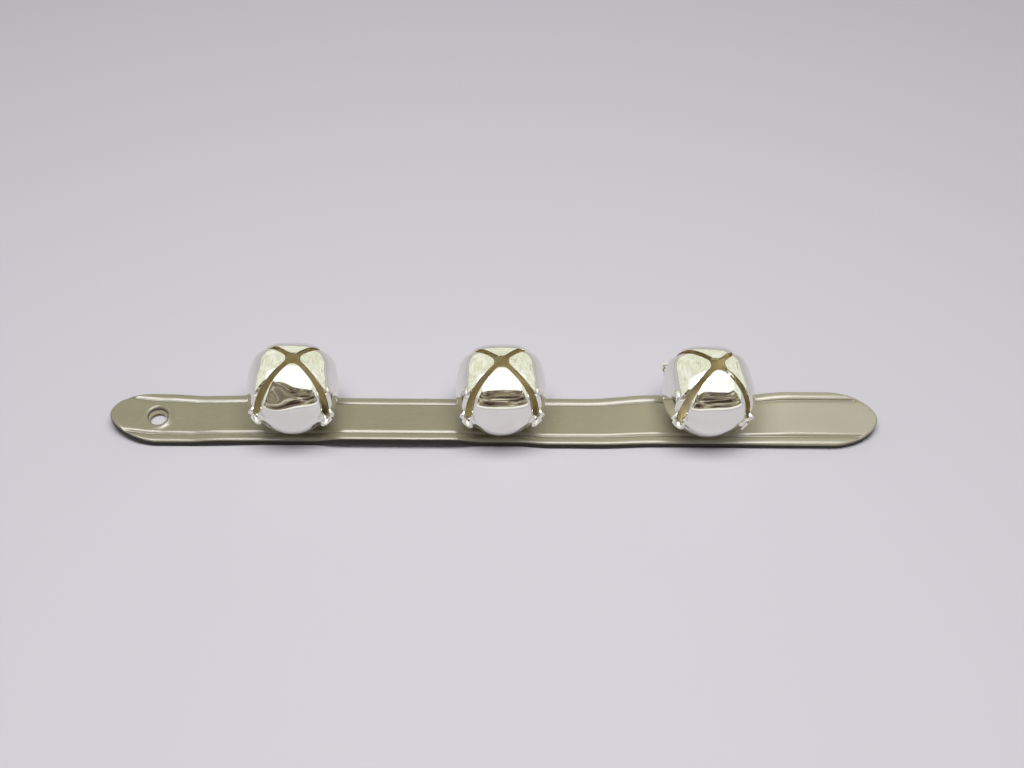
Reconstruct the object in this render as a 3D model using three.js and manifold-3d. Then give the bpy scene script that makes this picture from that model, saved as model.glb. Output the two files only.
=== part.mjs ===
// Bell strap: three jingle bells riveted along a leather strap that lies on its back.
// Millimetres, +Z up. X runs along the strap, and the origin is at the middle of its back.

import * as THREE from "three";
import { mergeVertices } from "three/addons/utils/BufferGeometryUtils.js";
import Module from "manifold-3d";

const wasm = await Module();
wasm.setup();

// Leather strap. Its length follows from the row of bells and the two ends past them.
const strapWidth = 25.4;
const strapThickness = 3.5;
const hangEndLength = 77.3; // from the end with the hole to the first bell
const freeEndLength = 74.1; // from the last bell to the other end
const endDepth = 20; // length of the rounding at each end
const endCurvePower = 1.8; // below 2 the end is a little more pointed than an ellipse
const edgeRound = 0.6;
const creaseInset = 3.6; // from the strap's edge to the middle of the creased line
const creaseWidth = 3;
const creaseDepth = 0.55;
const hangHoleDiameter = 8;
const hangHoleInset = 19.5; // from the end of the strap to the middle of the hole

// Row of bells. Each one is turned a little on its rivet.
const bellPitch = 85.8;
const bellSpinDegrees = [2.8, 1.6, 4];

// Bell shell, stamped in one piece: flat foot, round bowl, and four petals parted by slots
const bellDiameter = 38;
const shellWall = 0.8;
const footDiameter = 14;
const cornerBulgeShare = 0.12; // how far the petals' corners stand out past a true ball
const bulgeStartHeight = -8; // where the bowl starts to leave the ball, from its middle
const bulgeFullHeight = 7;
const slotTopWidth = 2.2;
const slotMiddleWidth = 4; // at the height of the ball's middle
const slotEndDiameter = 5.6; // round hole that ends each slot
const slotEndDrop = 1.6; // from the ball's middle down to the middle of that hole
const petalTipReach = 3; // from the bell's axis to each petal's rounded tip

// Rivet through the strap and the foot, clinched over a washer in the back
const shankDiameter = 4.2;
const rivetHeadDiameter = 9.5;
const rivetHeadHeight = 1.5;
const rivetRimHeight = 0.5;
const rivetTailDiameter = 6.4;
const rivetTailHeight = 0.6;
const rivetBoreDiameter = 2.4; // hollow end of the shank, rolled out to make the tail
const rivetBoreDepth = 2.6;
const burrDiameter = 10;
const burrThickness = 0.8;
const burrChamfer = 0.2;

// Loose steel pellet that rings the bell
const pelletDiameter = 9;

// Clearances
const shankGap = 0.3; // around the shank, and around the washer in its seat
const stackGap = 0.1; // between pieces stacked on the rivet
const tailGap = 0.2; // from the rivet's tail to the surface that the strap lies on
const pelletGap = 0.3; // from the pellet to the wall and to the rivet's head
const overrun = 1; // how far a cutter reaches past what it cuts

// Facet counts
const aroundSteps = 48;
const wallSteps = 10;
const endSteps = 14;
const holeSteps = 32;
const smallSteps = 20;
const domeSteps = 3;
const tipSteps = 6;
const pelletSteps = 16;

const bellCount = bellSpinDegrees.length;
const petalCount = 4;
const petalAngle = (2 * Math.PI) / petalCount;
const strapLength = hangEndLength + bellPitch * (bellCount - 1) + freeEndLength;
const ballRadius = bellDiameter / 2;
const footRadius = footDiameter / 2;
const centreAboveFoot = Math.sqrt(ballRadius ** 2 - footRadius ** 2);
const holeRadius = shankDiameter / 2 + shankGap;
const reachPastBell = ballRadius * (1 + cornerBulgeShare) + overrun;

// Heights of the stack on each rivet, from the strap's back upwards
const tailBottom = tailGap;
const burrBottom = tailBottom + rivetTailHeight + stackGap;
const seatDepth = burrBottom + burrThickness + stackGap;
const footBottom = strapThickness + stackGap;
const headBottom = footBottom + shellWall + stackGap;
const headTop = headBottom + rivetHeadHeight;

function toSolid(geometry) {
  const bare = geometry.clone();
  bare.deleteAttribute("normal");
  bare.deleteAttribute("uv");
  const merged = mergeVertices(bare);
  const corners = merged.index.array;
  const triVerts = [];
  for (let i = 0; i < corners.length; i += 3) {
    const [a, b, c] = corners.slice(i, i + 3);
    if (a !== b && b !== c && c !== a) triVerts.push(a, b, c);
  }
  const mesh = new wasm.Mesh({
    numProp: 3,
    vertProperties: Float32Array.from(merged.attributes.position.array),
    triVerts: Uint32Array.from(triVerts),
  });
  return new wasm.Manifold(mesh);
}

function toMesh(solid, name, material) {
  const result = solid.getMesh();
  const geometry = new THREE.BufferGeometry();
  geometry.setAttribute("position", new THREE.BufferAttribute(result.vertProperties, result.numProp));
  geometry.setIndex(new THREE.BufferAttribute(result.triVerts, 1));
  geometry.computeVertexNormals();
  const mesh = new THREE.Mesh(geometry, material);
  mesh.name = name;
  return mesh;
}

// Upright cylinder from one height to another
function postSolid(radius, bottom, top, steps, x = 0) {
  const geometry = new THREE.CylinderGeometry(radius, radius, top - bottom, steps);
  geometry.rotateX(Math.PI / 2);
  geometry.translate(x, 0, (bottom + top) / 2);
  return toSolid(geometry);
}

// Solid of revolution about Z from points given as distance from the axis and height
function turnedSolid(points, steps) {
  const geometry = new THREE.LatheGeometry(points, steps);
  geometry.rotateX(Math.PI / 2);
  return toSolid(geometry);
}

function arcPoints(radius, startAngle, endAngle, steps) {
  const points = [];
  for (let i = 0; i <= steps; i++) {
    const angle = THREE.MathUtils.lerp(startAngle, endAngle, i / steps);
    points.push(new THREE.Vector2(radius * Math.cos(angle), radius * Math.sin(angle)));
  }
  return points;
}

function bellX(index) {
  return hangEndLength + bellPitch * index - strapLength / 2;
}

// Strap outline seen from above, with the same drawn-out round at both ends
function strapOutline() {
  const points = [];
  for (const side of [1, -1]) {
    for (let i = 0; i <= endSteps; i++) {
      const angle = Math.PI * (i / endSteps - 1 / 2);
      const along = Math.max(Math.cos(angle), 0) ** (2 / endCurvePower);
      const across = Math.sign(angle) * Math.abs(Math.sin(angle)) ** (2 / endCurvePower);
      const x = strapLength / 2 - endDepth * (1 - along);
      points.push(new THREE.Vector2(side * x, side * across * (strapWidth / 2)));
    }
  }
  return new THREE.Shape(points);
}

// Groove pressed along one edge: a long cylinder that dips into the top face
function creaseCutter(side) {
  const radius = ((creaseWidth / 2) ** 2 + creaseDepth ** 2) / (2 * creaseDepth);
  const geometry = new THREE.CylinderGeometry(radius, radius, strapLength + 2 * overrun, holeSteps);
  geometry.rotateZ(Math.PI / 2);
  const y = side * (strapWidth / 2 - creaseInset);
  geometry.translate(0, y, strapThickness + radius - creaseDepth);
  return toSolid(geometry);
}

function strapSolid() {
  const geometry = new THREE.ExtrudeGeometry(strapOutline(), {
    depth: strapThickness - 2 * edgeRound,
    bevelThickness: edgeRound,
    bevelSize: edgeRound,
    bevelOffset: -edgeRound,
    bevelSegments: 2,
  });
  geometry.translate(0, 0, edgeRound);
  let strap = toSolid(geometry);
  for (const side of [1, -1]) {
    strap = strap.subtract(creaseCutter(side));
  }
  const holeX = hangHoleInset - strapLength / 2;
  const top = strapThickness + overrun;
  strap = strap.subtract(postSolid(hangHoleDiameter / 2, -overrun, top, holeSteps, holeX));
  for (let i = 0; i < bellCount; i++) {
    const seatRadius = burrDiameter / 2 + shankGap;
    strap = strap.subtract(postSolid(holeRadius, -overrun, top, smallSteps, bellX(i)));
    strap = strap.subtract(postSolid(seatRadius, -overrun, seatDepth, smallSteps, bellX(i)));
  }
  return strap;
}

// Section of the shell's wall, from the foot's hole up the outside, over and down the inside
function shellProfile() {
  const innerRadius = ballRadius - shellWall;
  const innerFoot = shellWall - centreAboveFoot;
  const poleRadius = petalTipReach / 2;
  const outerStart = -Math.asin(centreAboveFoot / ballRadius);
  const innerEnd = Math.asin(innerFoot / innerRadius);
  const outerTop = Math.acos(poleRadius / ballRadius);
  const innerTop = Math.acos(poleRadius / innerRadius);
  const start = new THREE.Vector2(holeRadius, -centreAboveFoot);
  return [
    start,
    ...arcPoints(ballRadius, outerStart, outerTop, wallSteps),
    ...arcPoints(innerRadius, innerTop, innerEnd, wallSteps - 1),
    new THREE.Vector2(holeRadius, innerFoot),
    start.clone(),
  ];
}

// Push the upper wall out towards the slots, so that it turns squarish above the bowl
function bulgeCorners(geometry) {
  const position = geometry.attributes.position;
  for (let i = 0; i < position.count; i++) {
    const x = position.getX(i);
    const y = position.getY(i);
    const z = position.getZ(i);
    const towardsSlot = (1 - Math.cos(petalCount * Math.atan2(y, x))) / 2;
    const rise = THREE.MathUtils.smoothstep(z, bulgeStartHeight, bulgeFullHeight);
    const scale = 1 + cornerBulgeShare * towardsSlot * rise;
    position.setXYZ(i, x * scale, y * scale, z);
  }
}

// One slot: tapered flanks that end in a round hole, cut outwards from the bell's axis
function slotCutter(angle) {
  const top = ballRadius + overrun;
  const widening = (slotMiddleWidth - slotTopWidth) / 2 / ballRadius;
  const halfWidth = (height) => slotMiddleWidth / 2 - widening * height;
  const outline = new THREE.Shape([
    new THREE.Vector2(-halfWidth(-slotEndDrop), -slotEndDrop),
    new THREE.Vector2(halfWidth(-slotEndDrop), -slotEndDrop),
    new THREE.Vector2(halfWidth(top), top),
    new THREE.Vector2(-halfWidth(top), top),
  ]);
  const flanks = new THREE.ExtrudeGeometry(outline, { depth: reachPastBell, bevelEnabled: false });
  flanks.rotateX(Math.PI / 2);
  flanks.rotateZ(angle);
  const hole = new THREE.CylinderGeometry(
    slotEndDiameter / 2,
    slotEndDiameter / 2,
    reachPastBell,
    smallSteps,
  );
  hole.translate(0, -reachPastBell / 2, -slotEndDrop);
  hole.rotateZ(angle);
  return toSolid(flanks).add(toSolid(hole));
}

// Star between the four rounded petal tips, each tip an arc tangent to its two slots
function starCutter() {
  const diagonal = Math.sin(petalAngle / 2);
  const tipRadius = (petalTipReach * diagonal - slotTopWidth / 2) / (1 - diagonal);
  const outline = [];
  for (let petal = 0; petal < petalCount; petal++) {
    const facing = petal * petalAngle;
    const centre = new THREE.Vector2(petalTipReach + tipRadius, 0);
    for (const point of arcPoints(tipRadius, Math.PI + petalAngle / 2, Math.PI - petalAngle / 2, tipSteps)) {
      outline.push(point.add(centre).rotateAround(new THREE.Vector2(), facing));
    }
  }
  const geometry = new THREE.ExtrudeGeometry(new THREE.Shape(outline), {
    depth: ballRadius + overrun,
    bevelEnabled: false,
  });
  return toSolid(geometry);
}

function shellSolid() {
  const geometry = new THREE.LatheGeometry(shellProfile(), aroundSteps);
  geometry.rotateX(Math.PI / 2);
  bulgeCorners(geometry);
  let shell = toSolid(geometry).subtract(starCutter());
  for (let petal = 0; petal < petalCount; petal++) {
    shell = shell.subtract(slotCutter((petal + 1 / 2) * petalAngle));
  }
  return shell.translate([0, 0, centreAboveFoot]);
}

// Rivet: domed head inside the bell, plain shank, and a hollow end rolled over the washer
function rivetSolid() {
  const headRadius = rivetHeadDiameter / 2;
  const boreRadius = rivetBoreDiameter / 2;
  const tailRadius = rivetTailDiameter / 2;
  const tailTop = tailBottom + rivetTailHeight;
  const points = [
    new THREE.Vector2(0, tailBottom + rivetBoreDepth),
    new THREE.Vector2(boreRadius, tailBottom + rivetBoreDepth - boreRadius / 2),
  ];
  const rollMiddle = (boreRadius + tailRadius) / 2;
  for (const point of arcPoints(1, Math.PI, 2 * Math.PI, domeSteps + 1)) {
    const distance = rollMiddle + point.x * (tailRadius - boreRadius) / 2;
    points.push(new THREE.Vector2(distance, tailTop + point.y * rivetTailHeight));
  }
  points.push(new THREE.Vector2(shankDiameter / 2, tailTop));
  points.push(new THREE.Vector2(shankDiameter / 2, headBottom));
  for (const point of arcPoints(1, 0, Math.PI / 2, domeSteps)) {
    const height = headBottom + rivetRimHeight + point.y * (rivetHeadHeight - rivetRimHeight);
    if (point.y === 0) points.push(new THREE.Vector2(headRadius, headBottom));
    points.push(new THREE.Vector2(headRadius * point.x, height));
  }
  return turnedSolid(points, smallSteps);
}

function burrSolid() {
  const outer = burrDiameter / 2;
  const top = burrBottom + burrThickness;
  const points = [
    new THREE.Vector2(holeRadius, burrBottom),
    new THREE.Vector2(outer - burrChamfer, burrBottom),
    new THREE.Vector2(outer, burrBottom + burrChamfer),
    new THREE.Vector2(outer, top - burrChamfer),
    new THREE.Vector2(outer - burrChamfer, top),
    new THREE.Vector2(holeRadius, top),
    new THREE.Vector2(holeRadius, burrBottom),
  ];
  return turnedSolid(points, smallSteps);
}

// The pellet rests in the trough between the bowl and the rivet's head. The angle of its
// place, seen from the ball's middle, comes from the triangle with the head's upper rim.
function pelletSolid() {
  const radius = pelletDiameter / 2;
  const reach = ballRadius - shellWall - radius - pelletGap;
  const rim = new THREE.Vector2(rivetHeadDiameter / 2, headTop - footBottom - centreAboveFoot);
  const clear = radius + pelletGap;
  const between = Math.acos((reach ** 2 + rim.lengthSq() - clear ** 2) / (2 * reach * rim.length()));
  const angle = Math.atan2(rim.x, -rim.y) + between;
  const geometry = new THREE.SphereGeometry(radius, pelletSteps, pelletSteps - 4);
  geometry.rotateX(Math.PI / 2);
  geometry.translate(reach * Math.sin(angle), 0, centreAboveFoot - reach * Math.cos(angle));
  return toSolid(geometry);
}

function leather() {
  return new THREE.MeshStandardMaterial({ color: 0x8e886c, roughness: 0.45, metalness: 0 });
}

function platedSteel() {
  return new THREE.MeshStandardMaterial({ color: 0xd9dbd2, roughness: 0.08, metalness: 1 });
}

function plainSteel() {
  return new THREE.MeshStandardMaterial({ color: 0xa9a69c, roughness: 0.35, metalness: 1 });
}

const bellStrap = new THREE.Group();
bellStrap.add(toMesh(strapSolid(), "leather_strap", leather()));

for (let i = 0; i < bellCount; i++) {
  const number = i + 1;
  const fastening = new THREE.Group();
  fastening.position.x = bellX(i);
  fastening.add(toMesh(rivetSolid(), `rivet_${number}`, platedSteel()));
  fastening.add(toMesh(burrSolid(), `burr_washer_${number}`, platedSteel()));
  bellStrap.add(fastening);

  const bell = new THREE.Group();
  bell.position.set(bellX(i), 0, footBottom);
  bell.rotation.z = THREE.MathUtils.degToRad(bellSpinDegrees[i]);
  bell.add(toMesh(shellSolid(), `bell_shell_${number}`, platedSteel()));
  bell.add(toMesh(pelletSolid(), `pellet_${number}`, plainSteel()));
  bellStrap.add(bell);
}

export default bellStrap;
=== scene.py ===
import math

import bmesh
import bpy
from mathutils import Matrix, Vector, kdtree, noise
from mathutils.geometry import delaunay_2d_cdt


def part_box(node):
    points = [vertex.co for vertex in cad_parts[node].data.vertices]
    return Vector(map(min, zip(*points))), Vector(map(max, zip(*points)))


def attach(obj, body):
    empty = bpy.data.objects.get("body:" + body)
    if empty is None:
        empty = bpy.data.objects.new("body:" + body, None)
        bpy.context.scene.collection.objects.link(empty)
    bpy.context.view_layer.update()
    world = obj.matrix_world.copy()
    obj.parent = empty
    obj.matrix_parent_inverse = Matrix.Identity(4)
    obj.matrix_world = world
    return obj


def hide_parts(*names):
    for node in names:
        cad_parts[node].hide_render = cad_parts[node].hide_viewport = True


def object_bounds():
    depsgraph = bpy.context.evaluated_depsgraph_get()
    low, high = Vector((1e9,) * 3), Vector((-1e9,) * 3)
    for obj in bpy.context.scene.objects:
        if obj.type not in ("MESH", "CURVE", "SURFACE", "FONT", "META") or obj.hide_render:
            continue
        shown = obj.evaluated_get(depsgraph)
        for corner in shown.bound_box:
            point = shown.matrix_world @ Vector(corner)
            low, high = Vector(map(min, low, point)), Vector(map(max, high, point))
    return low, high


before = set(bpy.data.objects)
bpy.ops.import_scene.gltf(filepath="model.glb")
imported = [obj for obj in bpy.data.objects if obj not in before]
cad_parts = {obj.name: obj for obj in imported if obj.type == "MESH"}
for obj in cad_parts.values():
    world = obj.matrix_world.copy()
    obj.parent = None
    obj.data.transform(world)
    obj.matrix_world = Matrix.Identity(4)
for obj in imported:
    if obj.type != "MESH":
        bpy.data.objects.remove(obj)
cad_low, cad_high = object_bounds()


# Leather strap. One strip of dyed harness leather, cut to a drawn-out round at both ends,
# with a line creased along each edge, a punched hole to hang it by, and a hole with a sunk
# seat in its back for each rivet. Use has left it a little twisted and curled at one end.
strap_low, strap_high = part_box("leather_strap")
strap_length = strap_high.x - strap_low.x
strap_width = strap_high.y - strap_low.y
strap_thickness = strap_high.z - strap_low.z
end_depth = 0.020
end_curve_power = 1.8
edge_round = 0.0008
back_round = 0.0005
crease_inset = 0.0041
crease_line = strap_width / 2 - crease_inset
crease_reach = 0.0017
crease_depth = 0.0008
crown_share = 0.55
edge_drop = 0.0005
row_step = 0.00028
hang_hole_inset = 0.0195
hang_hole = Vector((strap_low.x + hang_hole_inset, 0))
hang_hole_radius = 0.0040
hole_round = 0.0005
hole_ring_step = 0.0003
hole_ring_count = 10
hole_taper = 0.0004
hole_rim_height = 0.0013
hole_rim_crest = 0.0013
hole_rim_reach = 0.0011
hole_rim_turn = math.radians(40)
# How far the painted shade reaches down the hanging hole's wall, and how quickly it fades
hole_shade_depth = 0.0006
hole_shade_fade = 0.0002
rivet_hole_radius = 0.0024
seat_radius = 0.0053
seat_depth = 0.0018
leaf_step = 0.0016
back_step = 2 * leaf_step
back_row_pairs = 3
row_gaps = 4
hole_steps = 48
rivet_hole_steps = 32
round_steps = 4
edge_slot = 1
wave_height = 0.00006
wave_length = 0.014
wave_width = 0.009
foot_reach = 0.007
ball_reach = 0.020
twist_reach = 0.038
rise_reach = 0.050
tip_reach = (0.030, 0.056)
hole_end_twist = math.radians(1.9)
hole_tip_twist = math.radians(4.6)
first_twist = math.radians(6.8)
last_twist = math.radians(4.6)
free_end_twist = math.radians(13.5)
first_sway = 0.0017
last_sway = 0.0009
fade_reach = (0.020, 0.045)
hole_end_sway = 0.0009
free_end_sway = 0.0002
tip_curl = 0.0028
curl_length = 0.022
bell_count = 3
strap_looks = ("crease_shade", "cut_edge_dye_and_shade", "painted_rim_shade", "raw_hole_with_painted_light", "flesh_side")

bell_places = []
for number in range(1, bell_count + 1):
    foot_low, foot_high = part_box(f"bell_shell_{number}")
    bell_places.append((foot_low.x + foot_high.x) / 2)


def smooth_step(low, high, value):
    """Goes smoothly from 0 to 1 as the value goes from low to high."""
    share = min(max((value - low) / (high - low), 0), 1)
    return share * share * (3 - 2 * share)


def half_width_at(x):
    """Half of the strap's width at a place along it, down to nothing at the tips."""
    past = abs(x) - (strap_length / 2 - end_depth)
    if past <= 0:
        return strap_width / 2
    share = min(past / end_depth, 1)
    return strap_width / 2 * (1 - share ** end_curve_power) ** (1 / end_curve_power)


def strap_loop(inset):
    """The strap's outline, counterclockwise, moved inwards by the inset."""
    straight = strap_length - 2 * end_depth
    straight_steps = round(straight / leaf_step)
    end_steps = 2 * round(strap_width / leaf_step)
    loop = []
    for side in (1, -1):
        for step in range(end_steps):
            angle = math.pi * (step / end_steps - 1 / 2)
            along = max(math.cos(angle), 0) ** (2 / end_curve_power)
            across = math.copysign(abs(math.sin(angle)) ** (2 / end_curve_power), angle)
            x = strap_length / 2 - end_depth * (1 - along)
            loop.append(Vector((side * x, side * across * strap_width / 2)))
        for step in range(straight_steps):
            x = straight * (1 / 2 - step / straight_steps)
            loop.append(Vector((side * x, side * strap_width / 2)))
    moved = []
    for index, point in enumerate(loop):
        ahead = loop[(index + 1) % len(loop)] - loop[index - 1]
        inwards = Vector((-ahead.y, ahead.x)).normalized()
        moved.append(point + inwards * inset)
    return moved


def ring(centre, radius, steps=hole_steps):
    points = []
    for step in range(steps):
        angle = math.tau * step / steps
        points.append(centre + radius * Vector((math.cos(angle), math.sin(angle))))
    return points


def bump_at(distance, reach):
    """A smooth bump, 1 at no distance and next to nothing past twice the reach."""
    return math.exp(-(distance / reach) ** 2)


def crease_drop(y):
    """Depth of the creased line: a sharp fold with hollowed sides, and a crowned edge band."""
    past = abs(y) - crease_line
    if past < 0:
        return crease_depth * max(1 + past / crease_reach, 0) ** 2
    crown = crown_share * crease_inset
    if past < crown:
        return crease_depth * (1 - past / crown) ** 2
    return edge_drop * ((past - crown) / (crease_inset - crown)) ** 2


def strap_relief(x, y):
    """Height of the grain side over the flat: creased lines, the hole's rim, slow waves."""
    height = wave_height * noise.noise(Vector((x / wave_length, y / wave_width, 0)))
    around = Vector((x, y)) - hang_hole
    from_hole = around.length - hang_hole_radius
    towards_rise = math.cos(math.atan2(around.y, around.x) - hole_rim_turn)
    lift = hole_rim_height * (1 + towards_rise) / 2
    return height - crease_drop(y) + lift * bump_at(from_hole - hole_rim_crest, hole_rim_reach)


def between_bells(x, start, end):
    """Goes from 0 at one bell's foot to 1 under its ball, and back to 0 at the next."""
    after = smooth_step(foot_reach, ball_reach, x - start)
    return after * smooth_step(foot_reach, ball_reach, end - x)


def strap_lean(x):
    """Twist of the strap about its length, with the far edge up for a positive angle."""
    first, middle, last = bell_places
    lean = free_end_twist * smooth_step(foot_reach, twist_reach, x - last)
    before_last = smooth_step(rise_reach, ball_reach, last - x)
    lean += last_twist * before_last * between_bells(x, middle, last)
    lean -= first_twist * between_bells(x, first, middle)
    lean -= hole_end_twist * smooth_step(foot_reach, twist_reach, first - x)
    return lean + hole_tip_twist * smooth_step(*tip_reach, first - x)


def strap_sway(x):
    """How far the strap's middle line wanders sideways between the bells."""
    first, middle, last = bell_places
    sway = first_sway * between_bells(x, first, middle)
    sway += last_sway * smooth_step(*fade_reach, last - x) * between_bells(x, middle, last)
    sway += hole_end_sway * smooth_step(foot_reach, twist_reach, first - x)
    sway += free_end_sway * smooth_step(foot_reach, twist_reach, x - last)
    return -sway


def bend_strap(x, y, z):
    """Where a point of the flat strap lies once it is twisted and curled."""
    lean = strap_lean(x)
    lift = strap_width / 2 * abs(math.sin(lean))
    curl = tip_curl * smooth_step(curl_length, 0, x - strap_low.x)
    across = y * math.cos(lean) - z * math.sin(lean) + strap_sway(x)
    return Vector((x, across, z * math.cos(lean) + y * math.sin(lean) + lift + curl))


def strap_leaf(outline, hole_rings, step, rows):
    """Points and triangles that fill the outline, with rings round each open hole."""
    points = []
    edges = []
    for one_loop in [outline] + [one_ring for rings in hole_rings for one_ring in rings]:
        start = len(points)
        points.extend(one_loop)
        for index in range(len(one_loop)):
            edges.append((start + index, start + (index + 1) % len(one_loop)))
    near = kdtree.KDTree(len(points))
    for index, point in enumerate(points):
        near.insert(point.to_3d(), index)
    near.balance()
    inner_rims = []
    outer_rims = []
    for rings in hole_rings:
        centre = sum(rings[0], Vector((0, 0))) / len(rings[0])
        chord_share = math.cos(math.pi / len(rings[0]))
        inner_rims.append((centre, (rings[0][0] - centre).length * chord_share))
        outer_rims.append((centre, (rings[-1][0] - centre).length))
    margin = step / 5
    columns = round(strap_length / step)
    for column in range(1, columns):
        x = strap_low.x + strap_length * column / columns
        for y in rows:
            point = Vector((x, y))
            inside = abs(y) < half_width_at(x) - edge_round - margin
            in_hole = any((point - centre).length < reach for centre, reach in outer_rims)
            if inside and not in_hole and near.find(point.to_3d())[2] > margin:
                points.append(point)
    found, _, faces, origins, _, _ = delaunay_2d_cdt(points, edges, [], 1, margin / 1000)
    kept = []
    for face in faces:
        middle = sum((found[corner] for corner in face), Vector((0, 0))) / len(face)
        if not any((middle - centre).length < reach for centre, reach in inner_rims):
            kept.append([origins[corner][0] for corner in face])
    return points, kept


def add_strap_loop(mesh, loop, height, relief_share=0, look=None, amount=1):
    """Adds points at a height, with a share of the relief, and marks them with a look."""
    corners = []
    for point in loop:
        z = height + relief_share * strap_relief(point.x, point.y)
        corner = mesh.verts.new(bend_strap(point.x, point.y, z))
        if look is not None:
            corner[look] = amount
        corners.append(corner)
    return corners


def join_loops(mesh, upper, lower, material=0):
    for index in range(len(upper)):
        after = (index + 1) % len(upper)
        face = mesh.faces.new((upper[index], upper[after], lower[after], lower[index]))
        face.material_index = material


def make_strap():
    """The strap as one closed mesh, with what the finish needs to know of each point."""
    mesh = bmesh.new()
    layers = mesh.verts.layers.float
    crease_shade, cut, rim_shade_mask, raw, flesh = [layers.new(name) for name in strap_looks]
    rivet_places = [Vector((x, 0)) for x in bell_places]

    # Grain side, with close rows of points along the creases and rings round the holes
    rows = [0]
    inner_steps = round(crease_reach / row_step) + 1
    outer_steps = int(crease_inset / row_step)
    for side in (1, -1):
        for step in range(-inner_steps, outer_steps):
            rows.append(side * (crease_line + row_step * step))
        for step in range(1, row_gaps):
            rows.append(side * (crease_line - row_step * inner_steps) * step / row_gaps)
    grain_rings = [[]]
    for step in range(hole_ring_count):
        reach = hang_hole_radius + hole_round + hole_ring_step * step
        grain_rings[0].append(ring(hang_hole, reach))
    grain_rings += [[ring(place, rivet_hole_radius, rivet_hole_steps)] for place in rivet_places]
    outline = strap_loop(edge_round)
    points, faces = strap_leaf(outline, grain_rings, leaf_step, rows)
    top = add_strap_loop(mesh, points, strap_thickness, 1)
    for corner, point in zip(top, points):
        # Painted shade: a narrow band along each crease line, which the leather paints dark.
        corner[crease_shade] = bump_at(abs(point.y) - crease_line - row_step, row_step)
    for face in faces:
        mesh.faces.new([top[corner] for corner in face])

    # Flesh side, flat
    back_rings = [[ring(hang_hole, hang_hole_radius - hole_taper + back_round)]]
    back_rings += [[ring(place, seat_radius, rivet_hole_steps)] for place in rivet_places]
    back_rows = [back_step * step for step in range(-back_row_pairs, back_row_pairs + 1)]
    points, faces = strap_leaf(strap_loop(back_round), back_rings, back_step, back_rows)
    bottom = add_strap_loop(mesh, points, 0, 0, flesh)
    for face in faces:
        mesh.faces.new([bottom[corner] for corner in face])

    # Cut edge, rounded over above and, at three of the steps, below. The rounding gets darker step by step
    # towards the side: edge dye, deepened with painted shade
    rim = top[:len(outline)]
    for step in range(1, round_steps + 1):
        angle = math.pi / 2 * step / round_steps
        drop = edge_round * (1 - math.cos(angle))
        loop = strap_loop(edge_round * (1 - math.sin(angle)))
        share = 1 - drop / edge_round
        shade = (step / round_steps) ** 2
        lower = add_strap_loop(mesh, loop, strap_thickness - drop, share, cut, shade)
        join_loops(mesh, rim, lower)
        rim = lower
    for step in (0, 2, 3):
        angle = math.pi / 2 * step / round_steps
        loop = strap_loop(back_round * (1 - math.cos(angle)))
        lower = add_strap_loop(mesh, loop, back_round * (1 - math.sin(angle)), 0, cut)
        join_loops(mesh, rim, lower, edge_slot)
        rim = lower
    back_rim = bottom[:len(outline)]
    for corner in back_rim:
        corner[cut] = 1
    join_loops(mesh, rim, back_rim, edge_slot)

    # Hanging hole, with a ring of painted shade round its rim, and a raw tan wall lightened as painted light
    start = len(outline)
    rim = top[start:start + hole_steps]
    for step in range(1, round_steps + 1):
        angle = math.pi / 2 * step / round_steps
        drop = hole_round * (1 - math.cos(angle))
        loop = ring(hang_hole, hang_hole_radius + hole_round * (1 - math.sin(angle)))
        # The rim's rounding gets darker step by step: painted shade
        lower = add_strap_loop(mesh, loop, strap_thickness - drop, 1, rim_shade_mask, step / round_steps)
        join_loops(mesh, rim, lower)
        rim = lower
    rim_shade_bottom = strap_thickness - hole_round - hole_shade_depth
    walls = (
        (rim_shade_bottom, 0, 1, rim_shade_mask),
        (rim_shade_bottom - hole_shade_fade, 0, 1, raw),
        (back_round, hole_taper, 0, raw),
    )
    for height, taper, relief_share, look in walls:
        loop = ring(hang_hole, hang_hole_radius - taper)
        lower = add_strap_loop(mesh, loop, height, relief_share, look)
        join_loops(mesh, rim, lower)
        rim = lower
    join_loops(mesh, rim, bottom[start:start + hole_steps])

    # Rivet holes, each with its seat in the back
    top_start = start + hole_steps * hole_ring_count
    back_start = start + hole_steps
    for index, place in enumerate(rivet_places):
        first = rivet_hole_steps * index
        upper = top[top_start + first:][:rivet_hole_steps]
        neck_ring = ring(place, rivet_hole_radius, rivet_hole_steps)
        neck = add_strap_loop(mesh, neck_ring, seat_depth, 0, raw)
        seat_ring = ring(place, seat_radius, rivet_hole_steps)
        seat = add_strap_loop(mesh, seat_ring, seat_depth, 0, raw)
        join_loops(mesh, upper, neck)
        join_loops(mesh, neck, seat)
        join_loops(mesh, seat, bottom[back_start + first:][:rivet_hole_steps])
    return mesh


def add_object(name, data):
    made = bpy.data.objects.new(name, data)
    bpy.context.scene.collection.objects.link(made)
    return made


def finish_piece(mesh, name, *materials):
    """Turns a bmesh into an object with smooth faces that point outwards."""
    bmesh.ops.recalc_face_normals(mesh, faces=mesh.faces)
    data = bpy.data.meshes.new(name)
    mesh.to_mesh(data)
    mesh.free()
    data.shade_smooth()
    for material in materials:
        data.materials.append(material)
    return add_object(name, data)


def set_inputs(tree, node, inputs):
    """Sets a node's inputs to values, or links them to the outputs of other nodes."""
    for key, value in inputs.items():
        if isinstance(value, bpy.types.NodeSocket):
            tree.links.new(value, node.inputs[key])
        else:
            node.inputs[key].default_value = value


def add_node(tree, kind, inputs=(), **settings):
    node = tree.nodes.new(kind)
    for name, value in settings.items():
        setattr(node, name, value)
    set_inputs(tree, node, dict(inputs))
    return node


def object_place(tree):
    return add_node(tree, "ShaderNodeTexCoord").outputs["Object"]


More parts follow.
